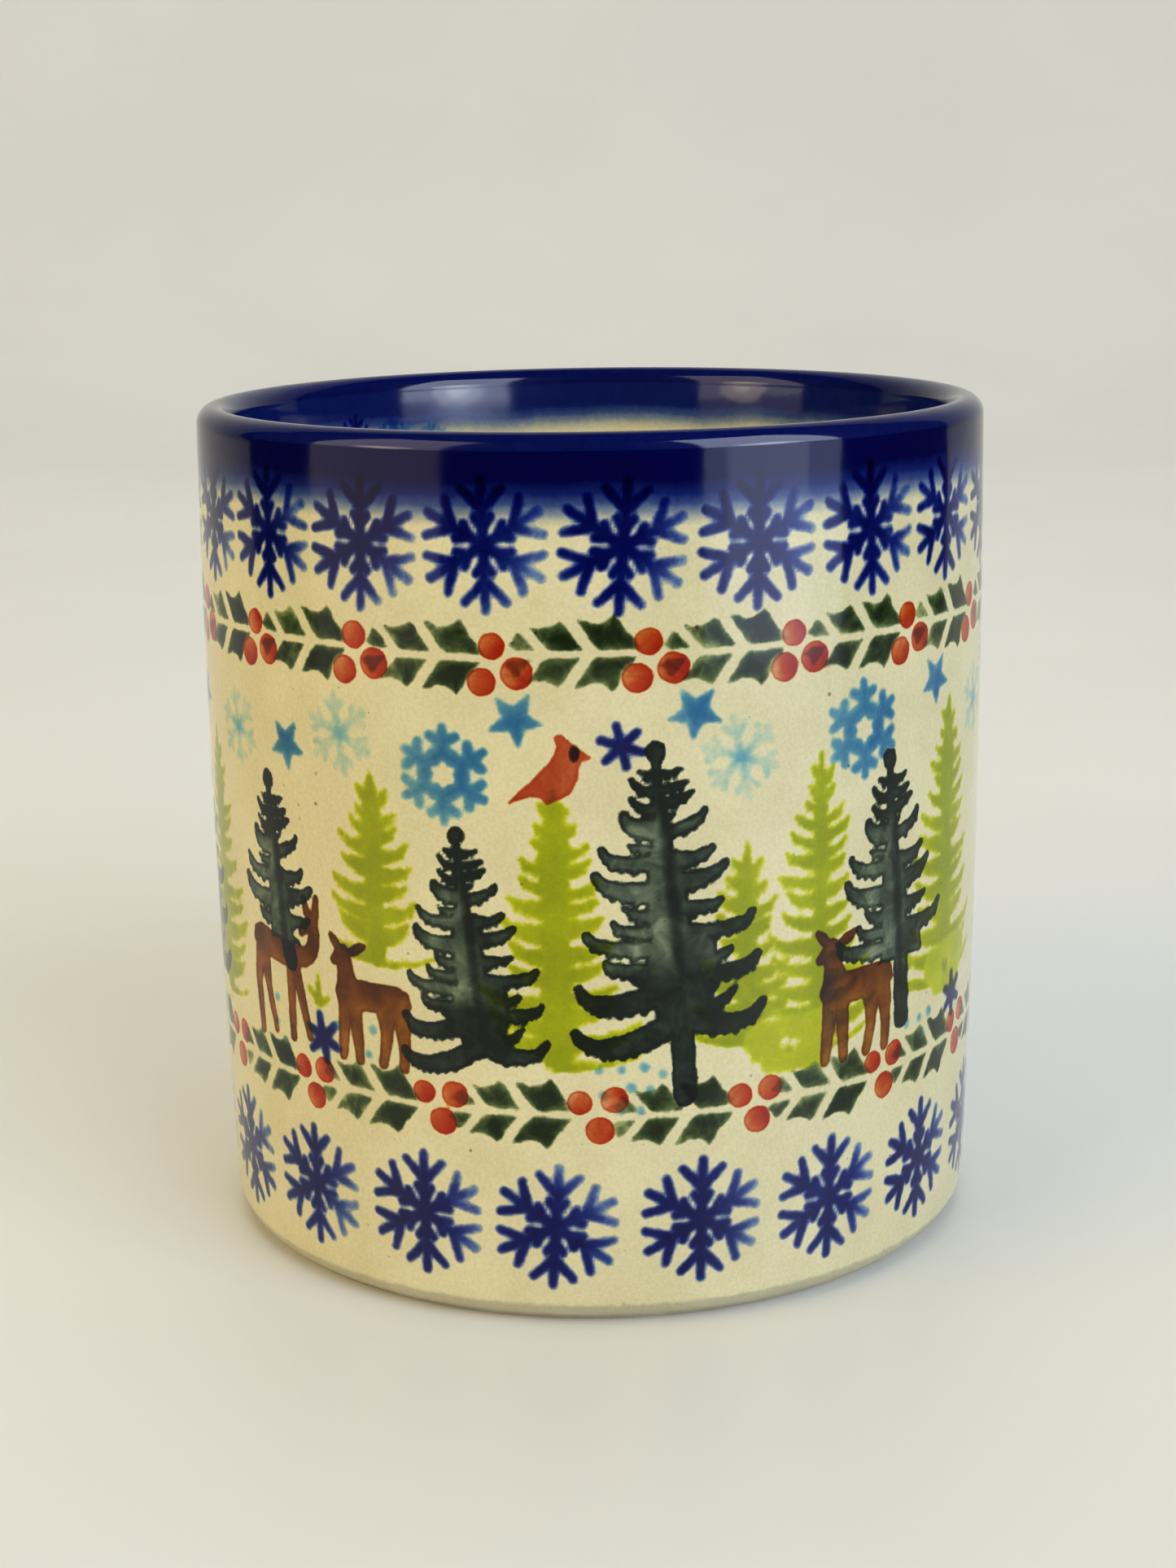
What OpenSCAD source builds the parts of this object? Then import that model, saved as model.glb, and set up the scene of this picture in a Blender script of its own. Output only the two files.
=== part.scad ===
// A straight-sided stoneware mug: clay cup, strap handle with its two slip joints, and fired glaze coats.
// The foot stands on z = 0, the cup's axis is Z, and the handle points along +Y.

/* [Cup] */
// Height from the foot to the crest of the lip
mug_height = 95.5; // [88:0.5:105]
// Outer diameter just below the lip, glaze included
mug_diameter = 90; // [84:0.5:96]
// How quickly the wall swells below the lip, as a share of the radius
belly = 0.039; // [0:0.001:0.06]
// How quickly the wall draws in again towards the foot, as a share of the radius
taper = 0.056; // [0.02:0.001:0.08]
// Thickness of the wall at the lip
lip_thickness = 4; // [3.4:0.1:5]
// How much thicker the wall is lower down than at the lip
wall_growth = 1.4; // [0:0.1:2]
// How quickly the wall thickens below the lip; a small number opens the mouth more sharply
mouth_flare = 8; // [5:0.5:20]
// Height of the drinking floor inside
floor_height = 7; // [5:0.5:10]
// Radius of the corner between the inner wall and the floor
inner_corner = 9; // [5:0.5:12]

/* [Foot] */
// Radius of the rounding between the wall and the foot
foot_round = 3.2; // [2:0.1:5]
// Width of the flat ring that the mug stands on
foot_ring = 6.5; // [4:0.5:10]
// Depth of the hollow under the base
base_hollow = 1.5; // [0.5:0.1:2.5]
// Height of the bare clay left above the table
bare_foot = 1.1; // [0.5:0.1:1.6]

/* [Glaze] */
// Thickness of a fired glaze coat
glaze = 0.3; // [0.2:0.05:0.5]
// How far the cobalt band reaches down from the lip
band_depth = 7; // [4:0.5:12]

/* [Handle] */
// Height of the strap's middle where it leaves the wall at the top
handle_top = 78; // [70:0.5:80]
// Distance from the cup's axis to the end of the level stretch
level_end = 54; // [50:0.5:56]
// Radius of the upper bend, to the strap's middle
upper_bend = 17; // [14:0.5:18]
// Length of the upright stretch between the two bends
grip_length = 4; // [2:0.5:6]
// Radius of the lower bend, to the strap's middle
lower_bend = 38; // [34:0.5:38]
// Width of the strap across the fingers
strap_width = 15; // [12:0.5:18]
// Thickness of the strap
strap_thickness = 7.5; // [6:0.5:9]
// How far the slip fillet stands out round the strap
slip_margin = 2; // [1:0.25:3]
// How far the slip fillet reaches out from the wall
slip_reach = 2.5; // [1.5:0.25:4]

/* [Hidden] */
round_faces = 96;
section_faces = 48;
wall_steps = 12;
lip_round = lip_thickness / 2;
lip_height = mug_height - lip_round;
lip_centre = outer_r(lip_height) - lip_round;
band_height = mug_height - band_depth;
foot_centre = outer_r(foot_round) - foot_round;
bare_angle = asin((foot_round - bare_foot) / foot_round);
ring_outer = foot_centre + (foot_round - glaze) * cos(70);
ring_inner = ring_outer - foot_ring;
corner_height = floor_height + inner_corner;
corner_centre = inner_r(corner_height) - inner_corner;
grip_reach = level_end + upper_bend;
grip_top = handle_top - upper_bend;
grip_bottom = grip_top - grip_length;
lower_centre = grip_reach - lower_bend;
wall_reach = outer_r(handle_top);
lower_angle = acos((wall_reach - lower_centre) / lower_bend);
lower_joint_height = grip_bottom - lower_bend * sin(lower_angle);
// The strap runs on into the wall by this length, or this angle, before it is trimmed to the wall's curve.
run_in = 8;
run_in_angle = 8;

// Share of the mug's height below the lip at height z
function drop(z) = (mug_height - z) / mug_height;
// Glazed outer radius at height z
function outer_r(z) = mug_diameter / 2 * (1 + belly * drop(z) - taper * pow(drop(z), 2));
// Glazed inner radius at height z
function inner_r(z) = outer_r(z) - lip_thickness - wall_growth * (1 - exp((z - lip_height) / mouth_flare));

// Each list below follows the glazed surface from the foot, over the lip, to the floor,
// moved into the clay by the depth d.
function foot_curve(d, low, high) = [
    for (i = [0 : 6])
        let (a = low + (high - low) * i / 6)
            [foot_centre + (foot_round - d) * cos(a), foot_round - (foot_round - d) * sin(a)]
];
function outside(d, low, high) = [
    for (i = [0 : wall_steps])
        let (z = low + (high - low) * i / wall_steps) [outer_r(z) - d, z]
];
function lip_curve(d) = [
    for (a = [15 : 15 : 165])
        [lip_centre + (lip_round - d) * cos(a), lip_height + (lip_round - d) * sin(a)]
];
function inside(d, high, low) = [
    for (i = [0 : wall_steps])
        let (z = high + (low - high) * pow(i / wall_steps, 1.5)) [inner_r(z) + d, z]
];
function floor_curve(d) = [
    for (a = [15 : 15 : 90])
        [corner_centre + (inner_corner + d) * cos(a), corner_height - (inner_corner + d) * sin(a)]
];

// The three stretches of the surface that carry a glaze coat
function outer_coat(d) = concat(
    foot_curve(d, bare_angle, 10),
    outside(d, foot_round, band_height)
);
function rim_coat(d) = concat(
    outside(d, band_height, lip_height),
    lip_curve(d),
    inside(d, lip_height, band_height)
);
function inner_coat(d) = concat(
    inside(d, band_height, corner_height),
    floor_curve(d),
    [[0, floor_height - d]]
);
function reversed(list) = [for (i = [len(list) - 1 : -1 : 0]) list[i]];

module revolve(points) {
    rotate_extrude($fn = round_faces)
        polygon(points);
}

// A thin coat between the glazed surface and the clay
module coat(surface, clay) {
    revolve(concat(surface, reversed(clay)));
}

// Everything within the cup's outer surface, used to trim what is joined to the wall
module cup_envelope(d) {
    revolve(concat(
        [[0, 0], [ring_outer, 0]],
        outer_coat(d),
        outside(d, band_height, lip_height),
        [[0, lip_height]]
    ));
}

module strap_section(grow) {
    round_r = strap_thickness / 2 + grow;
    span = strap_width - strap_thickness;
    square([2 * round_r, span], center = true);
    for (side = [-1, 1])
        translate([0, side * span / 2])
            circle(r = round_r, $fn = section_faces);
}

// The strap's sweep: level, a tight upper bend, an upright grip, then a long lower bend back to the wall
module strap(grow) {
    translate([0, wall_reach - run_in, handle_top])
        rotate([-90, 0, 0])
            linear_extrude(level_end - wall_reach + run_in)
                rotate(90)
                    strap_section(grow);
    translate([0, level_end, grip_top])
        rotate([0, 90, 0])
            rotate(90)
                rotate_extrude(angle = 90, $fn = round_faces)
                    translate([upper_bend, 0])
                        strap_section(grow);
    translate([0, grip_reach, grip_bottom])
        linear_extrude(grip_length)
            rotate(90)
                strap_section(grow);
    translate([0, lower_centre, grip_bottom])
        rotate([0, 90, 0])
            rotate(90)
                rotate_extrude(angle = -lower_angle - run_in_angle, $fn = round_faces)
                    translate([lower_bend, 0])
                        strap_section(grow);
}

module fillet_block(height, tilt) {
    translate([0, wall_reach, height])
        rotate([tilt - 90, 0, 0])
            translate([0, 0, -run_in])
                linear_extrude(run_in + slip_reach)
                    rotate(90)
                        strap_section(slip_margin);
}

module upper_fillet_block() {
    fillet_block(handle_top, 0);
}

module lower_fillet_block() {
    fillet_block(lower_joint_height, 90 - lower_angle);
}

module stoneware_cup() {
    color("tan")
        revolve(concat(
            [[0, base_hollow], [ring_inner - base_hollow, base_hollow], [ring_inner, 0], [ring_outer, 0]],
            outer_coat(glaze),
            rim_coat(glaze),
            inner_coat(glaze)
        ));
}

module strap_handle() {
    color("tan")
        difference() {
            strap(-glaze);
            cup_envelope(glaze);
        }
}

module upper_slip_joint() {
    color("burlywood")
        difference() {
            upper_fillet_block();
            strap(-glaze);
            cup_envelope(glaze);
        }
}

module lower_slip_joint() {
    color("burlywood")
        difference() {
            lower_fillet_block();
            strap(-glaze);
            cup_envelope(glaze);
        }
}

module outer_clear_glaze() {
    color("cornsilk")
        difference() {
            coat(outer_coat(0), outer_coat(glaze));
            upper_fillet_block();
            lower_fillet_block();
        }
}

module inner_clear_glaze() {
    color("cornsilk")
        revolve(concat(inner_coat(0), reversed(inner_coat(glaze))));
}

module cobalt_rim_glaze() {
    color("midnightblue")
        coat(rim_coat(0), rim_coat(glaze));
}

module handle_glaze() {
    color("cornsilk")
        difference() {
            strap(0);
            strap(-glaze);
            cup_envelope(0);
            upper_fillet_block();
            lower_fillet_block();
        }
}

stoneware_cup();
strap_handle();
upper_slip_joint();
lower_slip_joint();
outer_clear_glaze();
inner_clear_glaze();
cobalt_rim_glaze();
handle_glaze();
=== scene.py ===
from math import ceil, cos, exp, floor, pi, radians, sin

import bpy
import numpy as np
from mathutils import Matrix, Vector


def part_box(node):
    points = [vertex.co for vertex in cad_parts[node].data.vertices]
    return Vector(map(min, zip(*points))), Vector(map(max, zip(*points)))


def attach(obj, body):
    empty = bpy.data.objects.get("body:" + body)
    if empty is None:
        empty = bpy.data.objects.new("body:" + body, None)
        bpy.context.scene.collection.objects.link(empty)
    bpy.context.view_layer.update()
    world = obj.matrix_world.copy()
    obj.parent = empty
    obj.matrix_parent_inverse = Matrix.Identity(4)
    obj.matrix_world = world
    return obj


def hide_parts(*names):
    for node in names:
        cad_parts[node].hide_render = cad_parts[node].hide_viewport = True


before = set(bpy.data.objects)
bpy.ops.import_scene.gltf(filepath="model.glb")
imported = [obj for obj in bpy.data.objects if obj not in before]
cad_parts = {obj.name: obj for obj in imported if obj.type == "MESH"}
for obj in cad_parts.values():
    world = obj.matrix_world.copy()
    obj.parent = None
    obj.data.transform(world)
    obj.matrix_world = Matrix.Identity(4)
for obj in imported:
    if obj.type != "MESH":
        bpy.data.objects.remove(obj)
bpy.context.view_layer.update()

mm = 0.001               # the drawing below is worked out in millimetres
rng = np.random.default_rng(31)
scene = bpy.context.scene
scene.view_settings.view_transform = "Standard"


def boxMm(node):
    low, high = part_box(node)
    return np.array(low) / mm, np.array(high) / mm


# the cup's own sizes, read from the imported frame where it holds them
rimLow, rimHigh = boxMm("cobalt_rim_glaze")
floorLow = boxMm("inner_clear_glaze")[0]
outerLow = boxMm("outer_clear_glaze")[0]
clayHigh = boxMm("stoneware_cup")[1]

mug = {
    "height": rimHigh[2],
    "radius": 45.0,          # glazed, just below the lip
    "belly": 0.039,
    "taper": 0.056,
    "lipThickness": 4.0,
    "wallGrowth": 1.4,       # the wall thickens by this much below the lip
    "mouthFlare": 8.0,       # over about this depth
    "thinFoot": 2.4,         # below this the glaze was wiped thin
    "bandFoot": rimLow[2],   # where the rim coat starts
    "floorTop": floorLow[2] + rimHigh[2] - clayHigh[2],
    "innerCorner": 9.0,
    "footRound": 3.2,
    "footBare": outerLow[2],
    "coat": rimHigh[2] - clayHigh[2],
}


# camera

cameraSetup = {
    "place": (0.0, -0.29406, 0.12001),
    "pitch": 0.23605,        # looks down by 13.5 degrees
    "roll": -0.01504,
    "yaw": -0.00287,
    "lens": 57.96,
}


def makeCamera(setup):
    data = bpy.data.cameras.new("camera")
    data.lens = setup["lens"]
    data.sensor_width = 36.0
    camera = bpy.data.objects.new("camera", data)
    scene.collection.objects.link(camera)
    yaw, pitch, roll = setup["yaw"], setup["pitch"], setup["roll"]
    forward = Vector((sin(yaw) * cos(pitch), cos(yaw) * cos(pitch), -sin(pitch)))
    right = Vector((cos(yaw), -sin(yaw), 0.0))
    up = right.cross(forward)
    rolledRight = right * cos(roll) + up * sin(roll)
    rolledUp = up * cos(roll) - right * sin(roll)
    turn = Matrix((rolledRight, rolledUp, -forward)).transposed()
    camera.matrix_world = Matrix.Translation(setup["place"]) @ turn.to_4x4()
    scene.camera = camera


makeCamera(cameraSetup)
print("camera placed")


# the cup's surface

def dropAt(z):
    return (mug["height"] - z) / mug["height"]


def outerRadius(z):
    s = dropAt(z)
    return mug["radius"] * (1 + mug["belly"] * s - mug["taper"] * s * s)


lipRound = mug["lipThickness"] / 2
lipHeight = mug["height"] - lipRound


def innerRadius(z):
    growth = mug["wallGrowth"] * (1 - exp((z - lipHeight) / mug["mouthFlare"]))
    return outerRadius(z) - mug["lipThickness"] - growth


lipCentre = outerRadius(lipHeight) - lipRound
footCentre = outerRadius(mug["footRound"]) - mug["footRound"]
cornerHeight = mug["floorTop"] + mug["innerCorner"]
cornerCentre = innerRadius(cornerHeight) - mug["innerCorner"]


def outsideLine(low, high, step, inset=0.0):
    zs = np.linspace(low, high, max(2, round((high - low) / step) + 1))
    return [(outerRadius(z) - inset, z) for z in zs]


def insideLine(high, low, step, inset=0.0):
    zs = np.linspace(high, low, max(2, round((high - low) / step) + 1))
    return [(innerRadius(z) + inset, z) for z in zs]


def lipLine(step, inset=0.0):
    count = round(pi * lipRound / step)
    turns = [pi * i / count for i in range(1, count)]
    r = lipRound - inset
    return [(lipCentre + r * cos(a), lipHeight + r * sin(a)) for a in turns]


def footLine(step, inset=0.0):
    bare = np.arcsin((mug["footRound"] - mug["footBare"]) / mug["footRound"])
    count = max(3, round(bare * mug["footRound"] / step))
    turns = [bare * (1 - i / count) for i in range(count)]
    r = mug["footRound"] - inset
    return [(footCentre + r * cos(a), mug["footRound"] - r * sin(a)) for a in turns]


def cornerLine(step, inset=0.0):
    count = round(pi / 2 * mug["innerCorner"] / step)
    turns = [pi / 2 * i / count for i in range(1, count + 1)]
    r = mug["innerCorner"] + inset
    return [(cornerCentre + r * cos(a), cornerHeight - r * sin(a)) for a in turns]


# canvases: flat drawings in millimetres that are wrapped onto a surface

inkNames = ["navy", "leaf", "berry", "lime", "pine", "deer", "bird", "mask", "sky", "mist", "thin"]
blank = -3.0             # an ink distance this low is bare glaze


def makeCanvas(across, up, wraps):
    canvas = {"across": across, "up": up, "wraps": wraps}
    canvas["step"] = across[1] - across[0]
    canvas["inks"] = {n: np.full((len(up), len(across)), blank, np.float32) for n in inkNames}
    canvas["load"] = np.full((len(up), len(across)), 0.5, np.float32)
    return canvas


def stampInk(canvas, ink, x, y, reach, shape, turn=0.0, size=1.0, flip=1, load=None):
    # shape(x, y) gives millimetres inside the stamp's outline; load gives how much pigment lies there
    across, up = canvas["across"], canvas["up"]
    first = ceil((x - reach - across[0]) / canvas["step"])
    last = floor((x + reach - across[0]) / canvas["step"])
    columns = np.arange(first, last + 1)
    if canvas["wraps"]:
        place = columns % len(across)
    else:
        columns = columns[(columns >= 0) & (columns < len(across))]
        place = columns
    rows = np.nonzero(np.abs(up - y) <= reach)[0]
    if len(rows) == 0 or len(place) == 0:
        return
    gridX, gridY = np.meshgrid(across[0] + columns * canvas["step"] - x, up[rows] - y)
    localX = (gridX * cos(turn) + gridY * sin(turn)) / size * flip
    localY = (gridY * cos(turn) - gridX * sin(turn)) / size
    depth = shape(localX, localY) * size
    spot = np.ix_(rows, place)
    layer = canvas["inks"][ink]
    layer[spot] = np.maximum(layer[spot], depth)
    if load is not None:
        held = canvas["load"][spot]
        wet = np.clip(depth / 0.5 + 0.7, 0, 1)
        canvas["load"][spot] = held + (load(localX, localY) - held) * wet


def disc(x, y, cx, cy, r):
    return r - np.hypot(x - cx, y - cy)


def stroke(x, y, ax, ay, bx, by, ra, rb):
    # a brush mark from a to b, its half-width going from ra to rb
    lx, ly = bx - ax, by - ay
    t = np.clip(((x - ax) * lx + (y - ay) * ly) / (lx * lx + ly * ly), 0, 1)
    return ra + (rb - ra) * t - np.hypot(x - ax - lx * t, y - ay - ly * t)


def bent(x, y, start, middle, end, ra, rm, rb, pieces=7):
    # a curved brush mark through three points
    mx, my = (2 * middle[k] - (start[k] + end[k]) / 2 for k in (0, 1))
    best = np.full(x.shape, blank * 3)
    last = None
    for i in range(pieces + 1):
        t = i / pieces
        px = (1 - t) ** 2 * start[0] + 2 * t * (1 - t) * mx + t * t * end[0]
        py = (1 - t) ** 2 * start[1] + 2 * t * (1 - t) * my + t * t * end[1]
        r = ra + (rm - ra) * 2 * t if t < 0.5 else rm + (rb - rm) * (2 * t - 1)
        if last:
            best = np.maximum(best, stroke(x, y, last[0], last[1], px, py, last[2], r))
        last = (px, py, r)
    return best


def outline(x, y, points):
    # signed distance to a closed outline
    near = np.full(x.shape, 1e9)
    inside = np.zeros(x.shape, bool)
    for (ax, ay), (bx, by) in zip(points, points[1:] + points[:1]):
        near = np.minimum(near, -stroke(x, y, ax, ay, bx, by, 0, 0))
        crosses = (ay > y) != (by > y)
        if ay != by:
            inside ^= crosses & (x < (bx - ax) * (y - ay) / (by - ay) + ax)
    return np.where(inside, near, -near)


def merge(*parts):
    best = parts[0]
    for part in parts[1:]:
        best = np.maximum(best, part)
    return best


def mirrored(points, rise=1.0, shift=0.0):
    return [(x + shift, -y * rise) for x, y in points]


# stamps

def snowflake(x, y):
    best = disc(x, y, 0, 0, 0.9)
    for k in range(6):
        a = k * pi / 3
        u, v = x * cos(a) + y * sin(a), y * cos(a) - x * sin(a)
        side = np.abs(u)
        best = merge(
            best,
            stroke(u, v, 0, 0, 0, 6.6, 0.62, 0.46),
            stroke(side, v, 0, 3.6, 2.15, 5.75, 0.58, 0.42),
            stroke(side, v, 0.1, 1.7, 0.8, 2.8, 0.42, 0.5),
        )
    return best


def asterisk(x, y):
    best = disc(x, y, 0, 0, 0.9)
    for k in range(6):
        a = k * pi / 3
        best = merge(best, stroke(x, y, 0, 0, 2.2 * sin(a), 2.2 * cos(a), 0.55, 0.38))
    return best


def crystal(x, y):
    best = disc(x, y, 0, 0, 2.95)
    for k in range(6):
        a = k * pi / 3
        u, v = x * cos(a) + y * sin(a), y * cos(a) - x * sin(a)
        side = np.abs(u)
        best = merge(best, stroke(u, v, 0, 2, 0, 5.0, 1.05, 0.48),
                     stroke(side, v, 0, 3.4, 1.42, 4.0, 0.75, 0.56))
    hole = 1.24 + 0.17 * np.cos(6 * np.arctan2(x, y))
    return np.minimum(best, np.hypot(x, y) - hole)


def star(x, y):
    points = []
    for k in range(10):
        r = 2.75 if k % 2 == 0 else 1.25
        points.append((r * sin(k * pi / 5), -r * cos(k * pi / 5)))
    return outline(x, y, points) + 0.15


def paleFlake(x, y):
    best = disc(x, y, 0, 0, 0.9)
    for k in range(6):
        a = k * pi / 3
        u, v = x * cos(a) + y * sin(a), y * cos(a) - x * sin(a)
        side = np.abs(u)
        best = merge(best, stroke(u, v, 0, 0, 0, 4.1, 0.4, 0.28),
                     stroke(side, v, 0, 2.4, 1.1, 3.4, 0.25, 0.2))
    return best


def dot(x, y):
    return disc(x, y, 0, 0, 0.5)


def berry(x, y):
    return disc(x, y * 1.03, 0, 0, 1.5)


largeLeaf = [(-7.1, 3.45), (-6.3, 3.3), (-5.7, 2.95), (-4.5, 3.05), (-3.9, 3.35), (-3.4, 3.85),
             (-2.9, 3.25), (-2.4, 2.25), (-1.5, 1.35), (-0.9, 0.5), (-4.8, 0.45), (-5.4, 0.95)]
mediumLeaf = [(-11.8, 2.75), (-11, 2.55), (-10.1, 2.65), (-9.4, 2.95), (-8.9, 3.35), (-8.4, 2.95),
              (-7.8, 1.95), (-7.1, 0.95), (-6.7, 0.5), (-8.8, 0.5), (-10, 0.55), (-10.4, 0.95)]
smallLeaf = [(-14.1, 1.05), (-13.6, 1.45), (-13.2, 2.25), (-12.8, 2.05), (-12.2, 1.35), (-11.6, 0.6),
             (-13.3, 0.6)]


def hollySpray(x, y):
    # three leaves above the stem and three below, pointing left; x = -7 is about its middle
    x = x - 7
    best = np.full(x.shape, blank * 3)
    for leaf in (largeLeaf, mediumLeaf, smallLeaf):
        best = merge(best, outline(x, y, leaf), outline(x, y, mirrored(leaf, 0.98, -0.4)))
    return best + 0.08


# each bough of the dark fir, from the top down: tip, bend, root and half-width; the fir leans a little right
firBoughs = [
    ((-1.6, -3.1), (-0.8, -3.4), (0, -3.4), 0.42), ((2.7, -3.0), (1.6, -3.35), (0.3, -3.4), 0.42),
    ((-2.45, -3.9), (-1.5, -5.0), (-0.1, -5.2), 0.52), ((3.2, -4.35), (2.2, -4.8), (0.5, -5.1), 0.5),
    ((-2.45, -5.95), (-1.4, -6.9), (0, -7.1), 0.55), ((3.75, -5.5), (2.5, -6.1), (0.6, -6.6), 0.55),
    ((-3.2, -7.6), (-2.3, -8.9), (-0.2, -9.2), 0.95), ((1.9, -7.6), (1.5, -7.9), (1, -8.1), 0.4),
    ((5.1, -7.4), (4.0, -8.6), (1.4, -9.6), 0.62), ((-2.8, -10.8), (-1.8, -11.2), (0, -11.4), 0.45),
    ((-5.6, -11.2), (-4.0, -12.6), (-0.6, -12.8), 0.72), ((5.9, -11.4), (4.1, -12.4), (1.9, -12.4), 0.75),
    ((-6.1, -14.0), (-4.4, -15.5), (-0.6, -16.0), 0.95), ((7.3, -13.2), (5.4, -14.4), (2.6, -14.9), 0.85),
    ((-3.3, -17.5), (-2.2, -18.2), (-0.6, -18.4), 0.6), ((6.9, -17.2), (5.0, -17.7), (2.8, -17.8), 0.72),
    ((-4.4, -19.1), (-3.3, -20.0), (-0.8, -20.2), 0.62), ((10.3, -18.8), (8.2, -20.1), (3.4, -20.4), 0.75),
    ((-7.3, -20.3), (-5.4, -21.6), (-0.8, -22.0), 0.75), ((7.9, -22.5), (6.0, -23.4), (3.5, -23.6), 0.75),
    ((-5.3, -23.3), (-4.0, -24.2), (-0.8, -24.4), 0.75), ((11.0, -23.4), (9.2, -24.7), (4.5, -25.2), 0.78),
    ((-8.1, -26.2), (-5.4, -28.0), (0, -27.0), 1.05), ((8.4, -26.9), (7.0, -28.2), (5.2, -29.0), 0.65),
    ((-8.4, -31.2), (-5.2, -32.7), (0.3, -31.0), 1.1), ((11.5, -28.8), (9.0, -30.6), (4.5, -30.2), 1.0),
]
firCore = [(-0.4, -1.6), (0.5, -1.6), (0.75, -4.4), (1.35, -7.7), (1.8, -11.5), (3.0, -13.7),
           (3.5, -17.7), (3.6, -19.3), (6.3, -21.2), (6.9, -25.5), (5.7, -28.7), (4.4, -30.9),
           (1.4, -31.6), (0.2, -30.5), (-0.5, -27.1), (-2.8, -25.6), (-1.1, -23.3), (-0.7, -21.2),
           (-1.1, -17.7), (-0.9, -14.9), (-1, -12.1), (-0.2, -9.3), (-0.5, -6.8)]


def firStamp(reach, trunk=39.0):
    # boughs whose root lies below reach are left off; trunk is how far down the stem goes
    def shape(x, y):
        best = merge(disc(x, y * 0.95, 0.05, -1.05, 1.08),
                     np.minimum(outline(x, y, firCore), y + reach + 1.5),
                     stroke(x, y, 2.2, -19, 3.0, -trunk + 1.3, 1.25, 1.3))
        for tip, bend, root, wide in firBoughs:
            if -root[1] > reach:
                continue
            best = merge(best, bent(x, y, root, bend, tip, wide * 1.35, wide * 1.05, wide * 0.58))
            count = round(abs(tip[0] - root[0]) / 0.95)
            for k in range(1, count):
                t = k / count
                mx, my = (2 * bend[i] - (root[i] + tip[i]) / 2 for i in (0, 1))
                px = (1 - t) ** 2 * root[0] + 2 * t * (1 - t) * mx + t * t * tip[0]
                py = (1 - t) ** 2 * root[1] + 2 * t * (1 - t) * my + t * t * tip[1]
                low = wide * (1.3 - 0.75 * t)
                best = merge(best, disc(x, y, px, py - low, 0.36 + 0.1 * (k % 2)))
        return best
    return shape


def firLoad(x, y):
    # dense at the top, along the stem and in the low skirts; watery in between, most of all on the left
    down = np.clip(-y, 0, 40)
    top = 0.9 * np.clip((10 - down) / 3, 0, 1)
    skirts = 0.82 * np.clip((down - 22) / 3, 0, 1)
    stem = 0.92 * np.exp(-((x - 0.45 - 0.085 * down) / 1.05) ** 2)
    wash = 0.3 + 0.33 * np.clip((x - 0.5) / 3, 0, 1) + 0.2 * np.clip((-x - 4) / 2.5, 0, 1)
    return np.maximum(np.maximum(top, skirts), np.maximum(stem, wash))


def pineStamp(height, spread, seed, sparse=0.0):
    # the light conifer: a slim core with separate wedge-shaped boughs, each side with its own spacing
    draw = np.random.default_rng(seed)
    boughs = []
    for side in (-1, 1):
        drop = 2.0 + 0.3 * side
        while drop < height - 0.5:
            wide = (0.55 + spread * (1 - exp(-1.6 * drop / height)) * 1.2) * draw.uniform(0.68, 1.16)
            gap = draw.uniform(1.45, 2.15) * (1 + 0.5 * drop / height)
            thick = gap * (0.52 - 0.12 * sparse)
            boughs.append((side * wide, drop + draw.uniform(-0.3, 0.3), drop + 0.45 + 0.13 * wide, thick))
            drop += gap

    def shape(x, y):
        # the crown is nearly solid, the lower boughs stand apart
        crown = 1 - 0.58 * np.clip((-y / height - 0.2) / 0.22, 0, 1)
        core = 0.15 + (0.62 - 0.36 * sparse) * crown * spread * (1 - np.exp(1.8 * y / height))
        best = np.minimum(np.minimum(core - np.abs(x), -y), y + height)
        for reach, tipDrop, rootDrop, thick in boughs:
            best = merge(best, bent(x, y, (0, -rootDrop - 0.3), (reach * 0.6, -rootDrop), (reach, -tipDrop),
                                    thick, thick * 0.64, 0.27, 5))
            for t in (0.42, 0.68, 0.86):
                low = rootDrop + thick * (0.98 - 0.68 * t)
                best = merge(best, disc(x, y, reach * t, -low + 0.55 * t * (rootDrop - tipDrop), 0.3))
        return best - 1.5 * np.clip((3.5 - height - y) / 3.5, 0, 1) ** 2
    return shape


def pineLoad(x, y):
    return np.clip(0.92 - 0.035 * np.abs(x) + 0.1 * np.sin(0.6 * y + 1), 0.3, 1)


def snowWash(x, y):
    # a watery patch at a tree's foot with a bit of bare snow left in it
    wet = merge(stroke(x, y, -4.5, 1.4, 2.6, 1.6, 2.2, 2.4), stroke(x, y, -3.2, -0.6, 1.6, -0.8, 1.7, 1.8))
    bare = merge(disc(x, y, -1.75, 0.85, 0.62), disc(x, y, -0.85, 0.85, 0.62), disc(x, y, -1.3, 0.25, 0.6))
    return np.minimum(wet, -bare)


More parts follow.
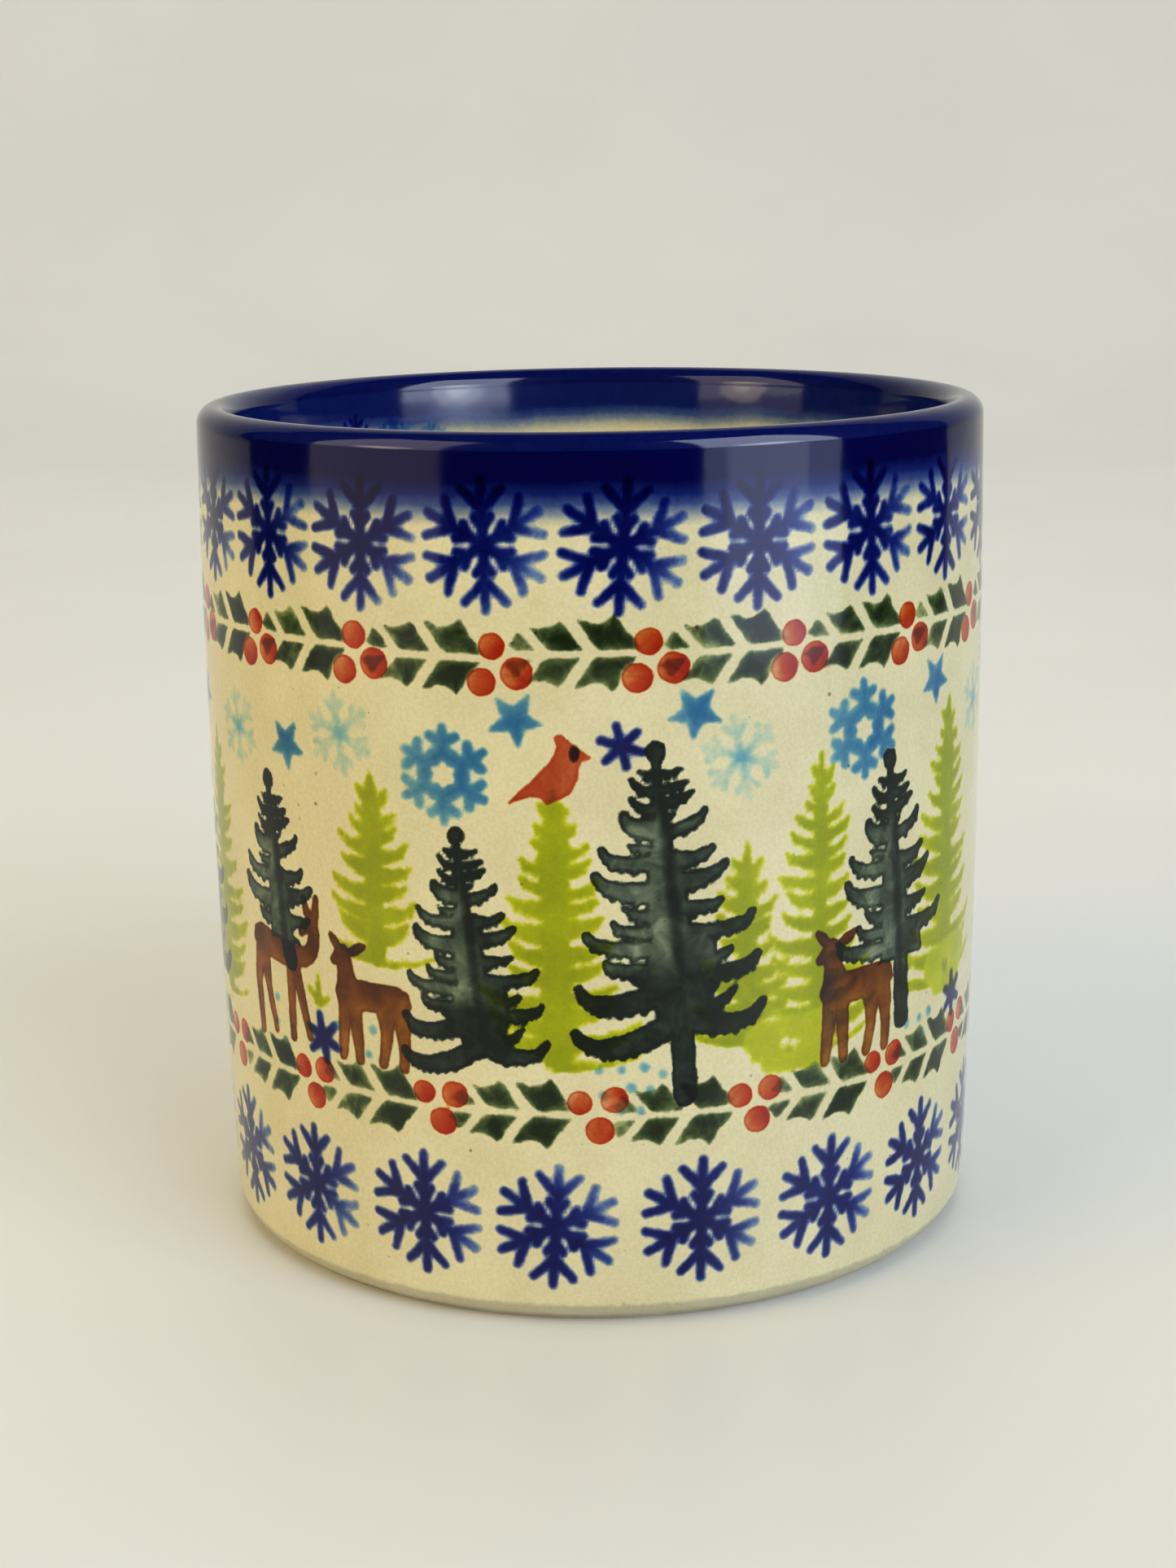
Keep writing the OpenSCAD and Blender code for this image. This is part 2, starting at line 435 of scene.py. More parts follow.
def fawn(x, y):
    return merge(
        # body, neck and head
        stroke(x, y, -3.1, 0.1, 3.2, 0.3, 1.72, 1.62),
        bent(x, y, (-3.5, 4.2), (-3.2, 2.4), (-2.9, 0.6), 1.1, 1.15, 1.7),
        stroke(x, y, -3.5, 4.5, -4.8, 3.6, 1.12, 0.58),
        # ears
        bent(x, y, (-3.9, 4.9), (-4.6, 5.7), (-5.2, 6.4), 0.4, 0.62, 0.3),
        bent(x, y, (-2.7, 4.7), (-1.5, 5.3), (-0.5, 5.8), 0.42, 0.62, 0.3),
        # legs and tail
        stroke(x, y, -3.5, -1.2, -4.1, -7.1, 1.0, 0.58),
        stroke(x, y, -2.1, -1.2, -1.7, -7.2, 0.95, 0.58),
        bent(x, y, (1.9, -1.0), (2.0, -4), (1.4, -7.1), 1.25, 0.72, 0.62),
        bent(x, y, (3.7, -0.9), (4.2, -4), (4.1, -7.2), 1.2, 0.78, 0.6),
        stroke(x, y, 4.4, 0.9, 4.9, -0.1, 0.6, 0.4),
    )


def deerLoad(x, y):
    # darker along the back and the head
    back = np.clip((y + 1.6) / 2.4, 0, 1)
    return np.clip(0.4 + 0.36 * back + 0.12 * np.sin(1.1 * x + 0.7 * y), 0.2, 1)


def doe(x, y):
    return merge(
        # body, neck and head
        stroke(x, y, 2.3, -0.6, -3.6, 0.4, 1.4, 1.7),
        bent(x, y, (2.2, -0.2), (5.6, 0.6), (6.3, 4.0), 1.4, 1.0, 0.85),
        stroke(x, y, 6.2, 4.4, 4.3, 2.7, 1.0, 0.5),
        # ears
        stroke(x, y, 5.4, 5.1, 4.9, 6.7, 0.6, 0.4),
        stroke(x, y, 6.7, 5.1, 7.0, 7.0, 0.6, 0.4),
        # hind legs, fore legs and tail
        stroke(x, y, -3.9, -0.4, -5.0, -4.7, 1.3, 0.75),
        stroke(x, y, -5.0, -4.7, -4.6, -10.6, 0.75, 0.55),
        stroke(x, y, -3.2, -1.2, -2.8, -4.6, 1.1, 0.7),
        stroke(x, y, -2.8, -4.6, -1.5, -9.8, 0.65, 0.5),
        stroke(x, y, 2.0, -1.4, 1.9, -9.8, 0.75, 0.6),
        stroke(x, y, 2.9, -1.4, 4.9, -9.2, 0.85, 0.55),
        stroke(x, y, -4.8, 1.0, -5.2, 0.0, 0.6, 0.5),
    )


cardinalOutline = [(-4.8, -2.8), (-2.2, -0.3), (-0.6, 1.2), (0.1, 2.4), (0.4, 3.2), (0.0, 4.1),
                   (0.6, 4.3), (1.4, 3.6), (2.0, 3.0), (3.5, 2.0), (2.5, 1.6), (2.3, 1.0),
                   (2.2, -0.2), (1.4, -1.7), (-0.2, -2.5), (-0.9, -2.8), (-1.5, -2.1), (-2.6, -1.9)]


def cardinal(x, y):
    return outline(x, y, cardinalOutline) + 0.12


def cardinalMask(x, y):
    return (1 - np.hypot((x - 1.95) / 0.5, (y - 2.4) / 0.85)) * 0.5


def flakeLoad(turn, middle):
    # heavy in the middle, thinner towards the tips on one side
    def load(x, y):
        side = np.clip((x * cos(turn) + y * sin(turn)) / 6, 0, 1)
        return np.clip(middle - 0.75 * side ** 1.3 - 0.2 * np.clip(np.hypot(x, y) / 3 - 1.2, 0, 1), 0.12, 1)
    return load


def leanLoad(strength, turn=0.0, middle=0.55, span=7.0):
    # more pigment to one side of a stamp than to the other
    def load(x, y):
        return np.clip(middle + strength * (x * cos(turn) + y * sin(turn)) / span, 0, 1)
    return load


# the painted outside

cellSize = 0.3
around = 2 * pi * mug["radius"]
columnCount = round(around / cellSize)
columnAcross = (np.arange(columnCount) - columnCount // 2) * (around / columnCount)
rowFoot = mug["footRound"]
rowTop = lipHeight
paintRows = np.linspace(rowFoot, rowTop, round((rowTop - rowFoot) / cellSize) + 1)
wallCanvas = makeCanvas(columnAcross, paintRows, True)


def paintFlakeRow(canvas, row):
    for k in range(row["count"]):
        x = row["start"] + row["spacing"] * k + rng.uniform(-0.35, 0.35)
        y = row["height"] + rng.uniform(-0.25, 0.25)
        turn = radians(rng.uniform(-5, 3))
        load = flakeLoad(rng.uniform(-0.7, 0.7), rng.uniform(0.84, 1.02))
        stampInk(canvas, "navy", x, y, 8, snowflake, turn, row["size"], 1, load)


def paintGarland(canvas, row):
    for k in range(row["count"]):
        x = row["start"] + row["spacing"] * k + rng.uniform(-0.3, 0.3)
        y = row["height"] + rng.uniform(-0.25, 0.25)
        stampInk(canvas, "leaf", x + row["leafShift"] - 7, y, 8.6, hollySpray, radians(rng.uniform(-1, 1)),
                 1, 1, leanLoad(0.3, rng.uniform(-1, 1), 0.85))
        for bx, by, size in row["berries"]:
            stampInk(canvas, "berry", x + bx + rng.uniform(-0.12, 0.12), y + by + rng.uniform(-0.12, 0.12),
                     2.2, berry, 0, size * rng.uniform(0.95, 1.05), 1,
                     leanLoad(0.4, rng.uniform(-0.9, 0.5), 0.52, 1.3))


flakeRows = [
    {"count": 20, "start": 3.3 - 10 * 13.9, "spacing": 13.9, "height": 84.2, "size": 1.0},
    {"count": 18, "start": -4.5 - 9 * 15.5, "spacing": 15.5, "height": 11.7, "size": 1.02},
]
garlands = [
    {"count": 18, "start": 5.7 - 9 * 15.7, "spacing": 15.7, "height": 73.3, "leafShift": 0.0,
     "berries": [(0, 1.25, 0.97), (-1.2, -2.35, 1.03), (2.45, -1.5, 1.13)]},
    {"count": 16, "start": -8 * 17.3, "spacing": 17.3, "height": 24.3, "leafShift": -1.7,
     "berries": [(-2.1, 1.35, 0.9), (1.55, 1.65, 0.98), (0, -1.75, 1.04)]},
]
for row in flakeRows:
    paintFlakeRow(wallCanvas, row)
for row in garlands:
    paintGarland(wallCanvas, row)

# dark firs: across, height of the top, size, and how far down the boughs and the stem go
darkFirs = [(-40.4, 58.2, 0.92, 19, 24), (-14.6, 55.2, 0.8, 32, 31), (6.1, 64.4, 1.0, 32, 39.5),
            (34.4, 60.5, 1.0, 22.2, 32)]
# light conifers: across, height of the top, length, spread, seed and how bare the stem is
lightPines = [(-55.2, 60.5, 32, 8.4, 3, 0), (-24.5, 60.3, 22, 6.4, 5, 0), (-4.3, 59.8, 31, 8.2, 7, 0),
              (15.8, 53.0, 23, 5.6, 9, 0.2), (24.6, 61.8, 34, 7.3, 11, 0.7), (46.4, 64.6, 34, 9.0, 13, 0.1),
              (-33.1, 36.6, 5, 1.9, 17, 0.6)]
# the rest: across, height, then a turn in degrees, or a side to face, and for some a size
washes = [(22.3, 29.7), (48.5, 32.5)]
stars = [(-36.5, 61.7, 4), (-8.0, 66.8, 6), (10.3, 67.2, -5), (43.0, 66.8, 3), (-60.5, 63.6, 8)]
crystals = [(-15.8, 60.7, 0), (30.4, 63.3, 2)]
mists = [(-28.4, 63.9, 8), (15.2, 62.2, 12), (-46.8, 62.0, 10), (55.5, 62.5, 9)]
asterisks = [(2.7, 64.0, 12, 1.0), (-32.7, 29.5, 10, 1.15), (49.6, 29.2, 5, 1.1)]
fawns = [(-25.6, 35.2, 1, 1.0), (30.0, 35.1, 1, 1.08)]
does = [(-39.8, 38.2, 1, 1.0)]
birds = [(-4.0, 60.9, 1)]
dots = [(0, 29.4), (2.3, 29.4), (4.8, 29.5), (6.7, 28.7), (3.4, 27.3), (5.4, 27.0), (0.4, 26.6), (2.2, 25.0),
        (4.3, 24.7), (-40.8, 32.3), (-41.1, 29.4), (-37.9, 29.5), (-39.5, 27.5), (-25.4, 31.8), (-26.1, 28.9),
        (-32.9, 31.9), (-30.5, 31.3), (38.5, 28.6), (41.0, 28.7), (43.2, 28.9), (41.8, 26.7)]

# the scene goes on round the back with the same stamps in another order
farSide = [
    ("pine", 66, 57, 28, 5.8, 21), ("fir", 74, 62, 1.0, 32, 39), ("pine", 84, 55, 26, 5.2, 23),
    ("pine", 97, 63, 34, 6.4, 25), ("fir", 108, 58.5, 0.95, 25, 33), ("pine", 119, 57, 26, 5.2, 27),
    ("fir", -66, 61.5, 0.97, 32, 36), ("pine", -76, 58, 28, 5.6, 29), ("fir", -92, 56, 0.82, 32, 31),
    ("pine", -102, 62, 34, 6.2, 31), ("fir", -113, 63.5, 1.0, 32, 39), ("pine", -123, 56, 26, 5.0, 33),
    ("pine", -132, 51, 21, 4.6, 35), ("pine", 130, 53, 23, 5.0, 37),
]
for item in farSide:
    if item[0] == "fir":
        darkFirs.append(item[1:])
    else:
        lightPines.append(item[1:] + (0.1,))
fawns += [(88, 34.8, -1, 1.0), (-84, 35, 1, 1.0)]
does += [(99, 38.2, -1, 1.0)]
stars += [(72, 67, 5), (101, 67, -4), (-74, 66.5, 3), (-106, 66.8, 8), (125, 66, 2)]
crystals += [(86, 61.8, 4), (-84, 63.5, -3), (-124, 63.2, 5), (118, 63.3, 0)]
mists += [(63, 66, 10), (-95, 65.5, 4), (111, 66.5, 7)]
asterisks += [(92, 66, 5, 1.0), (-100, 29.5, 12, 1.1), (76, 29, 4, 1.1)]
birds += [(97.5, 64.2, -1)]
dots += [(66, 28.6), (68.3, 29.2), (70, 27.6), (94, 29), (96.2, 28.2), (-70, 28.6), (-72.4, 29.2),
         (-95, 28.3)]

for x, top, height, spread, seed, sparse in lightPines:
    stampInk(wallCanvas, "lime", x, top, height + 1, pineStamp(height, spread, seed, sparse), 0, 1, 1,
             pineLoad)
for x, y in washes:
    stampInk(wallCanvas, "lime", x, y, 8, snowWash, 0, 1, 1, leanLoad(0, 0, 0.32))
for x, top, size, reach, trunk in darkFirs:
    stampInk(wallCanvas, "pine", x, top, 42, firStamp(reach, trunk), 0, size, 1, firLoad)
for x, y, turn in stars:
    stampInk(wallCanvas, "sky", x, y, 4, star, radians(turn), 1, 1,
             leanLoad(0.25, rng.uniform(-2, 2), 0.85, 3))
for x, y, turn in crystals:
    stampInk(wallCanvas, "sky", x, y, 7, crystal, radians(turn), 1, 1,
             leanLoad(0.3, rng.uniform(-1, 1), 0.78, 5))
for x, y, turn in mists:
    stampInk(wallCanvas, "mist", x, y, 6, paleFlake, radians(turn), 1, 1,
             lambda lx, ly: np.clip(1.1 - 0.55 * np.hypot(lx, ly), 0.1, 1))
for x, y, turn, size in asterisks:
    stampInk(wallCanvas, "navy", x, y, 4, asterisk, radians(turn), size, 1, leanLoad(0.1, 0, 0.95))
for x, y, flip, size in fawns:
    stampInk(wallCanvas, "deer", x, y, 9, fawn, 0, size, flip, deerLoad)
for x, y, flip, size in does:
    stampInk(wallCanvas, "deer", x, y, 12, doe, 0, size, flip, deerLoad)
for x, y, flip in birds:
    stampInk(wallCanvas, "bird", x, y, 6, cardinal, 0, 1, flip, leanLoad(-0.15, 1.2, 0.5, 4))
    stampInk(wallCanvas, "mask", x, y, 6, cardinalMask, 0, 1, flip)
for x, y in dots:
    stampInk(wallCanvas, "sky", x, y, 1.5, dot, 0, rng.uniform(0.8, 1.2), 1, leanLoad(0, 0, 0.35))
print("outside painted")


# a scalloped soft edge where the cobalt dip ends, as a height in millimetres that runs round the cup
def dipEdge(across, seed, depth):
    draw = np.random.default_rng(seed)
    edge = np.zeros(len(across))
    for waves in (3, 7, 12, 19, 26):
        edge += draw.uniform(0.3, 1.0) * np.sin(across / mug["radius"] * waves + draw.uniform(0, 2 * pi))
    return depth * edge / 2.2


dip = {
    "insidePaintedLightLevel": 89.85,    # painted light: inside, the cobalt stops short of full strength, a brighter blue that stands for the stronger light falling in there
    # on the lip the cobalt also stops short of full strength: partly a real thinner coat on the crest, partly
    # a painted highlight along the lip
    "lipThinCoatAndHighlightLevel": 90.4,
    "outside": 0.0,          # how far the dip's edge is moved up
    "inside": 1.1,
    "scallop": 0.35,
}
outsideEdge = dipEdge(columnAcross, 5, dip["scallop"]) + dip["outside"]
insideEdge = dipEdge(columnAcross, 8, dip["scallop"]) + dip["inside"]

# a few of the same flakes inside, half drowned in the cobalt
insideRows = np.linspace(mug["bandFoot"] - 9, lipHeight, 48)
insideCanvas = makeCanvas(columnAcross, insideRows, True)
insideClusters = [-141.5, -41, 62]
insideStamps = [(0, 87.6, "sky", crystal, 0.55), (-8.0, 86.8, "sky", crystal, 0.5),
                (9.0, 87.4, "navy", snowflake, 0.52), (16, 86.2, "mist", paleFlake, 0.8)]
for place in insideClusters:
    for shift, y, ink, stamp, size in insideStamps:
        stampInk(insideCanvas, ink, radians(place + shift) * mug["radius"], y, 7, stamp, radians(shift),
                 size, 1, leanLoad(0.15, 1, 0.55))
print("inside painted")


# meshes

def skinMesh(name, points, fields, closed, capped):
    # points[row][column] is skinned as quads that wrap round the columns; fields are values for each vertex
    rows, columns = points.shape[:2]
    places = points.reshape(-1, 3)
    index = np.arange(rows * columns).reshape(rows, columns)
    upper = np.roll(index, -1, axis=0) if closed else index[1:]
    lower = index if closed else index[:-1]
    quads = np.stack([lower, np.roll(lower, -1, 1), np.roll(upper, -1, 1), upper], -1).reshape(-1, 4)
    fans = np.zeros((0, 3), int)
    if capped:
        places = np.vstack([places, points[0].mean(0), points[-1].mean(0)])
        low, high = rows * columns, rows * columns + 1
        first, last = index[0], index[-1]
        fans = np.vstack([np.stack([np.roll(first, -1), first, np.full(columns, low)], -1),
                          np.stack([last, np.roll(last, -1), np.full(columns, high)], -1)])
    corner = places[quads]
    volume = np.einsum("ij,ij->i", corner[:, 0], np.cross(corner[:, 1], corner[:, 2])).sum()
    volume += np.einsum("ij,ij->i", corner[:, 0], np.cross(corner[:, 2], corner[:, 3])).sum()
    if volume < 0:
        quads, fans = quads[:, ::-1], fans[:, ::-1]
    mesh = bpy.data.meshes.new(name)
    mesh.vertices.add(len(places))
    mesh.vertices.foreach_set("co", (places * mm).astype(np.float32).ravel())
    loops = np.concatenate([quads.ravel(), fans.ravel()])
    mesh.loops.add(len(loops))
    mesh.loops.foreach_set("vertex_index", loops.astype(np.int32))
    mesh.polygons.add(len(quads) + len(fans))
    starts = np.concatenate([np.arange(len(quads)) * 4, len(quads) * 4 + np.arange(len(fans)) * 3])
    mesh.polygons.foreach_set("loop_start", starts.astype(np.int32))
    mesh.update(calc_edges=True)
    mesh.validate()
    mesh.polygons.foreach_set("use_smooth", np.ones(len(mesh.polygons), bool))
    mesh.set_sharp_from_angle(angle=radians(40))
    for field, values in fields.items():
        flat = np.full(len(places), blank, np.float32)
        flat[: values.size] = values.astype(np.float32).ravel()
        mesh.attributes.new(field, "FLOAT", "POINT").data.foreach_set("value", flat)
    piece = bpy.data.objects.new(name, mesh)
    scene.collection.objects.link(piece)
    return piece


def finishPiece(piece, material, slot, *nodes):
    piece.data.materials.append(material)
    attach(piece, "root")
    if nodes:
        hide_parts(*nodes)
    return piece


def turnLine(line, across):
    # sweeps a list of (radius, height) rows round the axis
    turn = across / mug["radius"]
    line = np.array(line)
    points = np.empty((len(line), len(across), 3))
    points[..., 0] = line[:, :1] * np.sin(turn)
    points[..., 1] = -line[:, :1] * np.cos(turn)
    points[..., 2] = line[:, 1:]
    return points


def sampleCanvas(canvas, heights, every=1):
    # the canvas's inks at other heights; beyond its rows they are blank
    up = canvas["up"]
    at = (np.array(heights) - up[0]) / (up[1] - up[0])
    low = np.clip(np.floor(at).astype(int), 0, len(up) - 2)
    part = (at - low)[:, None]
    outside = (part < -0.01) | (part > 1.01)
    fields = {}
    for ink, layer in list(canvas["inks"].items()) + [("load", canvas["load"])]:
        values = layer[low] * (1 - part) + layer[low + 1] * part
        fields[ink] = np.where(outside, 0.5 if ink == "load" else blank, values)[:, ::every]
    return fields


def stackFields(parts):
    names = {n for fields, count in parts for n in fields}
    width = next(values.shape[1] for fields, count in parts for values in fields.values())
    stacked = {}
    for n in sorted(names):
        empty = 0.5 if n == "load" else blank
        stacked[n] = np.vstack([fields.get(n, np.full((count, width), empty)) for fields, count in parts])
    return stacked


def keepUsed(fields):
    # drops the inks that a piece doesn't show and returns the names of the rest
    used = [n for n in inkNames if n in fields and fields[n].max() > -0.5]
    for ink in set(inkNames) - set(used):
        fields.pop(ink, None)
    return used


# materials

def nodeGroup(name, inputs, outputs):
    group = bpy.data.node_groups.new(name, "ShaderNodeTree")
    for label, kind, value in inputs:
        socket = group.interface.new_socket(label, in_out="INPUT", socket_type="NodeSocket" + kind)
        socket.default_value = value
    for label, kind in outputs:
        group.interface.new_socket(label, in_out="OUTPUT", socket_type="NodeSocket" + kind)
    return group, group.nodes.new("NodeGroupInput").outputs, group.nodes.new("NodeGroupOutput").inputs


def addNode(tree, kind, inputs=None, **settings):
    node = tree.nodes.new("ShaderNode" + kind)
    for key, value in settings.items():
        setattr(node, key, value)
    for key, value in (inputs or {}).items():
        if isinstance(value, bpy.types.NodeSocket):
            tree.links.new(value, node.inputs[key])
        else:
            node.inputs[key].default_value = value
    return node


def calc(tree, operation, *values):
    node = addNode(tree, "Math", dict(enumerate(values)), operation=operation)
    return node.outputs[0]


def ramp(tree, value, low, high, start=0.0, end=1.0, smooth=True):
    kind = "SMOOTHSTEP" if smooth else "LINEAR"
    inputs = {"Value": value, "From Min": low, "From Max": high, "To Min": start, "To Max": end}
    return addNode(tree, "MapRange", inputs, interpolation_type=kind).outputs[0]


def mixColor(tree, factor, a, b, blend="MIX"):
    node = addNode(tree, "Mix", {0: factor, 6: a, 7: b}, data_type="RGBA", blend_type=blend)
    return node.outputs[2]


def millimetres(tree):
    place = addNode(tree, "TexCoord").outputs["Object"]
    return addNode(tree, "VectorMath", {0: place, "Scale": 1000.0}, operation="SCALE").outputs[0]


def noise(tree, place, scale, detail=2.0, rough=0.5, warp=0.0):
    inputs = {"Vector": place, "Scale": scale, "Detail": detail, "Roughness": rough, "Distortion": warp}
    return addNode(tree, "TexNoise", inputs).outputs["Fac"]


def white(value=1.0):
    return (value, value, value, 1.0)


def makeBrushNoise():
    # Wobble moves a stamp's edge about, Wash is the cloudiness of watered pigment
    group, given, out = nodeGroup(
        "brush_noise", [("Wobble Size", "Float", 1.3), ("Wash Size", "Float", 3.4)],
        [("Wobble", "Float"), ("Wash", "Float"), ("Grain", "Float")])
    place = millimetres(group)
    fine = noise(group, place, calc(group, "DIVIDE", 1.0, given["Wobble Size"]), 3, 0.6)
    group.links.new(ramp(group, fine, 0.25, 0.75, -1.0, 1.0, False), out["Wobble"])
    cloud = noise(group, place, calc(group, "DIVIDE", 1.0, given["Wash Size"]), 5, 0.62, 0.6)
    group.links.new(ramp(group, cloud, 0.3, 0.7, 0.0, 1.0, False), out["Wash"])
    group.links.new(ramp(group, noise(group, place, 4.5, 2, 0.5), 0.3, 0.7, 0.0, 1.0, False), out["Grain"])
    return group


def makeInkLayer():
    # one stamped colour: soft edged, darker or paler along its edge, uneven where it was watered down
    group, given, out = nodeGroup(
        "ink_layer",
        [("Color", "Color", white()), ("Ground", "Color", white()), ("Distance", "Float", -3.0),
         ("Wobble", "Float", 0.0), ("Wash", "Float", 0.5), ("Load", "Float", 0.5), ("Softness", "Float", 0.2),
         ("Drift", "Float", 0.12), ("Pool Width", "Float", 0.5), ("Pool", "Float", 0.3),
         ("Watery", "Float", 0.4), ("Cover", "Float", 0.0), ("Deep", "Color", white(0.1)),
         ("Pale", "Color", white(0.5))],
        [("Color", "Color"), ("Mask", "Float")])
    depth = calc(group, "MULTIPLY_ADD", given["Wobble"], given["Drift"], given["Distance"])
    soft = given["Softness"]
    mask = ramp(group, depth, calc(group, "MULTIPLY", soft, -1.0), soft)
    pool = calc(group, "MULTIPLY", ramp(group, depth, 0.0, given["Pool Width"], 1.0, 0.0), given["Pool"])
    cloud = calc(group, "MULTIPLY", calc(group, "SUBTRACT", given["Wash"], 0.5), given["Watery"])
    density = calc(group, "ADD", calc(group, "ADD", given["Load"], cloud), pool)
    density = ramp(group, density, 0.0, 1.0, 0.0, 1.0, False)
    thin = addNode(group, "Gamma", {0: given["Pale"], 1: calc(group, "SUBTRACT", 1.0, density)}).outputs[0]
    thick = addNode(group, "Gamma", {0: given["Deep"], 1: density}).outputs[0]
    tint = addNode(group, "Gamma", {0: mixColor(group, 1.0, thin, thick, "MULTIPLY"), 1: mask}).outputs[0]
    under = mixColor(group, calc(group, "MULTIPLY", mask, given["Cover"]), given["Color"], given["Ground"])
    group.links.new(mixColor(group, 1.0, under, tint, "MULTIPLY"), out["Color"])
    group.links.new(mask, out["Mask"])
    return group


def makeCreamGlaze():
    # the fired clear glaze over cream clay: faint clouding, iron specks and a slow ripple
    group, given, out = nodeGroup(
        "cream_glaze",
        [("Light", "Color", white()), ("Dark", "Color", white(0.8)), ("Speck", "Color", white(0.2)),
         ("Speck Share", "Float", 0.3)],
        [("Color", "Color"), ("Roughness", "Float"), ("Height", "Float")])
    place = millimetres(group)
    cloud = ramp(group, noise(group, place, 0.09, 4, 0.55), 0.3, 0.7)
    grain = ramp(group, noise(group, place, 2.6, 3, 0.6), 0.32, 0.68)
    tone = calc(group, "MULTIPLY_ADD", grain, 0.5, calc(group, "MULTIPLY", cloud, 0.5))
    color = mixColor(group, tone, given["Light"], given["Dark"])
    for scale, size in ((0.5, 0.17), (0.9, 0.12), (1.7, 0.085)):
        cells = addNode(group, "TexVoronoi", {"Vector": place, "Scale": scale})
        chosen = addNode(group, "SeparateColor", {0: cells.outputs["Color"]})
        spread = calc(group, "MULTIPLY", chosen.outputs[1], size)
        middle = calc(group, "MULTIPLY", spread, 0.45)
        speck = ramp(group, cells.outputs["Distance"], middle, spread, 1.0, 0.0)
        picked = calc(group, "LESS_THAN", chosen.outputs[0], given["Speck Share"])
        strength = calc(group, "MULTIPLY", calc(group, "MULTIPLY", speck, picked), chosen.outputs[2])
        color = mixColor(group, strength, color, given["Speck"])
    group.links.new(color, out["Color"])
    ripple = noise(group, place, 0.12, 2, 0.5)
    peel = noise(group, place, 0.9, 2, 0.5)
    group.links.new(calc(group, "MULTIPLY_ADD", peel, 0.05, ripple), out["Height"])
    group.links.new(ramp(group, cloud, 0.0, 1.0, 0.07, 0.12, False), out["Roughness"])
    return group


brushNoise = makeBrushNoise()
inkLayer = makeInkLayer()
creamGlaze = makeCreamGlaze()

# how each pigment lies: tint where thick and thin, edge softness, wandering, pooling and cloudiness
inks = {
    "lime": {"Deep": (0.36, 0.46, 0.0008, 1), "Pale": (0.76, 0.86, 0.02, 1), "Softness": 0.3, "Drift": 0.3,
             "Pool Width": 0.7, "Pool": -0.15, "Watery": 0.45},
    "pine": {"Deep": (0.007, 0.014, 0.016, 1), "Pale": (0.3, 0.4, 0.41, 1), "Softness": 0.15, "Drift": 0.18,
             "Pool Width": 0.55, "Pool": 0.5, "Watery": 0.6},
    "deer": {"Deep": (0.085, 0.02, 0.001, 1), "Pale": (0.56, 0.23, 0.03, 1), "Softness": 0.15, "Drift": 0.1,
             "Pool Width": 0.45, "Pool": 0.3, "Watery": 0.5},
    "bird": {"Deep": (0.42, 0.028, 0.004, 1), "Pale": (0.68, 0.22, 0.13, 1), "Softness": 0.14, "Drift": 0.12,
             "Pool Width": 0.6, "Pool": 0.2, "Watery": 0.6},
    "mask": {"Deep": (0.03, 0.008, 0.002, 1), "Pale": (0.06, 0.02, 0.01, 1), "Softness": 0.15, "Drift": 0.05},
    "sky": {"Deep": (0.025, 0.18, 0.68, 1), "Pale": (0.28, 0.6, 1.0, 1), "Softness": 0.26, "Drift": 0.16,
            "Pool Width": 1.0, "Pool": -0.35, "Watery": 0.5},
    "mist": {"Deep": (0.16, 0.5, 1.0, 1), "Pale": (0.66, 0.88, 1.0, 1), "Softness": 0.45, "Drift": 0.22,
             "Pool": 0.0, "Watery": 0.7},
    "leaf": {"Deep": (0.009, 0.022, 0.009, 1), "Pale": (0.4, 0.5, 0.3, 1), "Softness": 0.18, "Drift": 0.14,
             "Pool Width": 0.95, "Pool": -0.38, "Watery": 0.9},
    "berry": {"Deep": (0.42, 0.014, 0.001, 1), "Pale": (0.82, 0.36, 0.24, 1), "Softness": 0.13, "Drift": 0.1,
              "Pool Width": 0.3, "Pool": 0.35, "Watery": 0.6, "Cover": 0.3},
    "thin": {"Deep": (0.68, 0.7, 0.76, 1), "Pale": (0.68, 0.7, 0.76, 1), "Softness": 0.3, "Drift": 0.2,
             "Pool": 0.0, "Watery": 0.0},
    "navy": {"Deep": (0.001, 0.003, 0.16, 1), "Pale": (0.16, 0.3, 0.95, 1), "Softness": 0.3, "Drift": 0.12,
             "Pool Width": 0.45, "Pool": -0.15, "Watery": 0.45},
}
layerOrder = ["thin", "mist", "lime", "pine", "deer", "bird", "mask", "sky", "leaf", "berry", "navy"]

cream = {
    "light": (0.77, 0.7, 0.42, 1),
    "dark": (0.64, 0.565, 0.31, 1),
    "speck": (0.2, 0.13, 0.07, 1),
    "speckShare": 0.3,
    "rippleHeight": 0.05,    # millimetres
}
# tint of the cobalt dip from its thinned edge up to full strength
cobaltStops = [(0.0, (1, 1, 1)), (0.14, (0.7, 0.76, 0.92)), (0.3, (0.26, 0.36, 0.75)),
               (0.48, (0.05, 0.1, 0.52)), (0.7, (0.006, 0.018, 0.3)), (1.0, (0.0005, 0.0008, 0.115))]
dipSpan = (86.4, 90.9)       # heights over which the dip fades in


